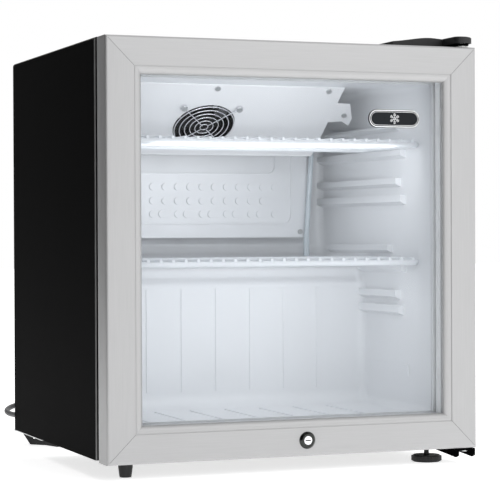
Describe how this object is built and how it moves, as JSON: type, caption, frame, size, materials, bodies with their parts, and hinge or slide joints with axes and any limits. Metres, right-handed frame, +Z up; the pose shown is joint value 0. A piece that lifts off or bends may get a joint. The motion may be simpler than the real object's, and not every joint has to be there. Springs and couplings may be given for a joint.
{
  "type": "mini fridge",
  "caption": "Free-standing mini fridge: black cabinet, silver-framed glass door with a key lock, white liner, wire shelves, slanted fan cover and a rear compressor bay.",
  "frame": {"origin": "on the floor, under the middle of the fridge's width and depth, the mains lead left out", "axes": "+X to the right seen from the front, +Y from the door to the back, +Z up"},
  "size_m": [0.4622, 0.471, 0.5004],
  "materials": {
    "silver_frame": "satin anodised silver",
    "black_steel": "black powder coat, fine texture",
    "white_liner": "thermoformed white plastic, soft gloss",
    "white_steel": "white paint",
    "grey_steel": "galvanised grey",
    "foam": "cream polyurethane foam",
    "clear_glass": "clear float glass",
    "black_plastic": "moulded black plastic",
    "dial_white": "light moulded nylon",
    "white_wire": "white plastic coating over steel wire",
    "bright_chrome": "bright chrome plate",
    "zinc_steel": "zinc plated",
    "evaporator_aluminium": "pale matt aluminium",
    "drain_plastic": "milky plastic",
    "grey_gasket": "soft grey rubber",
    "badge_enamel": "dark enamel with a silver rim",
    "black_compressor": "black enamel",
    "relay_plastic": "moulded dark plastic",
    "copper_pipe": "bare copper",
    "black_rubber": "black rubber"
  },
  "bodies": {
    "cabinet": {"base_plate": "zinc_steel", "bottom_hinge_bracket": "black_steel", "bottom_panel": "black_steel", "compressor": "black_compressor", "compressor_bay_panel": "black_steel", "compressor_bolts": "zinc_steel", "compressor_grommets": "black_rubber", "condenser_brackets": "black_plastic", "condenser_coil": "black_compressor", "cord_hank": "black_rubber", "cord_strain_relief": "black_rubber", "cord_tie": "black_plastic", "drain_tube": "drain_plastic", "drip_pan": "black_plastic", "evaporator_clips": "white_liner", "evaporator_plate": "evaporator_aluminium", "fan_cover": "white_steel", "fan_frame": "black_plastic", "fan_guard": "bright_chrome", "fan_guard_screws": "zinc_steel", "front_left_foot": "black_plastic", "front_sill": "black_steel", "hinge_pins": "zinc_steel", "hinge_screws": "zinc_steel", "inner_liner": "white_liner", "insulation_foam": "foam", "leveling_nut": "zinc_steel", "lock_strike_pocket": "black_plastic", "mains_cord": "black_rubber", "mains_plug": "black_rubber", "outer_shell": "black_steel", "rear_feet": "black_plastic", "rear_panel": "grey_steel", "refrigerant_pipes": "copper_pipe", "relay_cover": "relay_plastic", "self_tapping_screws": "zinc_steel", "thermostat_housing": "black_plastic", "top_hinge_bracket": "black_steel", "top_hinge_cover": "black_plastic", "wall_spacers": "black_plastic"},
    "door": {"door_rail_bottom": "silver_frame", "door_rail_left": "silver_frame", "door_rail_right": "silver_frame", "door_rail_top": "silver_frame", "door_corner_keys": "zinc_steel", "hinge_bushes": "dial_white", "outer_pane": "clear_glass", "inner_pane": "clear_glass", "glazing_spacer": "dial_white", "door_back_trim": "dial_white", "door_gasket": "grey_gasket", "door_badge": "badge_enamel", "lock_housing": "bright_chrome"},
    "lock": {"lock_barrel": "bright_chrome", "lock_cam": "zinc_steel"},
    "upper_shelf": {"upper_shelf": "white_wire"},
    "lower_shelf": {"lower_shelf": "white_wire"},
    "fan_rotor": {"fan_rotor": "black_plastic"},
    "leveling_foot": {"leveling_foot": "black_plastic"},
    "thermostat_dial": {"thermostat_dial": "dial_white"}
  },
  "joints": [
    {"name": "door_hinge", "type": "hinge", "parent": "cabinet", "child": "door", "pos_m": [0.214, -0.219, 0.25], "axis": [0, 0, 1], "range_deg": [0, 120]},
    {"name": "key_lock", "type": "hinge", "parent": "door", "child": "lock", "pos_m": [0.01, -0.2, 0.038], "axis": [0, -1, 0], "range_deg": [0, 90]},
    {"name": "upper_shelf_slide", "type": "slide", "parent": "cabinet", "child": "upper_shelf", "axis": [0, -1, 0], "range_m": [0, 0.02]},
    {"name": "lower_shelf_slide", "type": "slide", "parent": "cabinet", "child": "lower_shelf", "axis": [0, -1, 0], "range_m": [0, 0.02]},
    {"name": "fan_spin", "type": "hinge", "parent": "cabinet", "child": "fan_rotor", "pos_m": [-0.028, -0.00011, 0.40336], "axis": [0, -0.6018, -0.7986], "continuous": true},
    {"name": "leveling_foot_turn", "type": "hinge", "parent": "cabinet", "child": "leveling_foot", "pos_m": [0.187, -0.177, 0.01], "axis": [0, 0, 1], "continuous": true},
    {"name": "thermostat_turn", "type": "hinge", "parent": "cabinet", "child": "thermostat_dial", "pos_m": [-0.178, 0.165, 0.174], "axis": [0, 1, 0], "range_deg": [0, 300]}
  ]
}
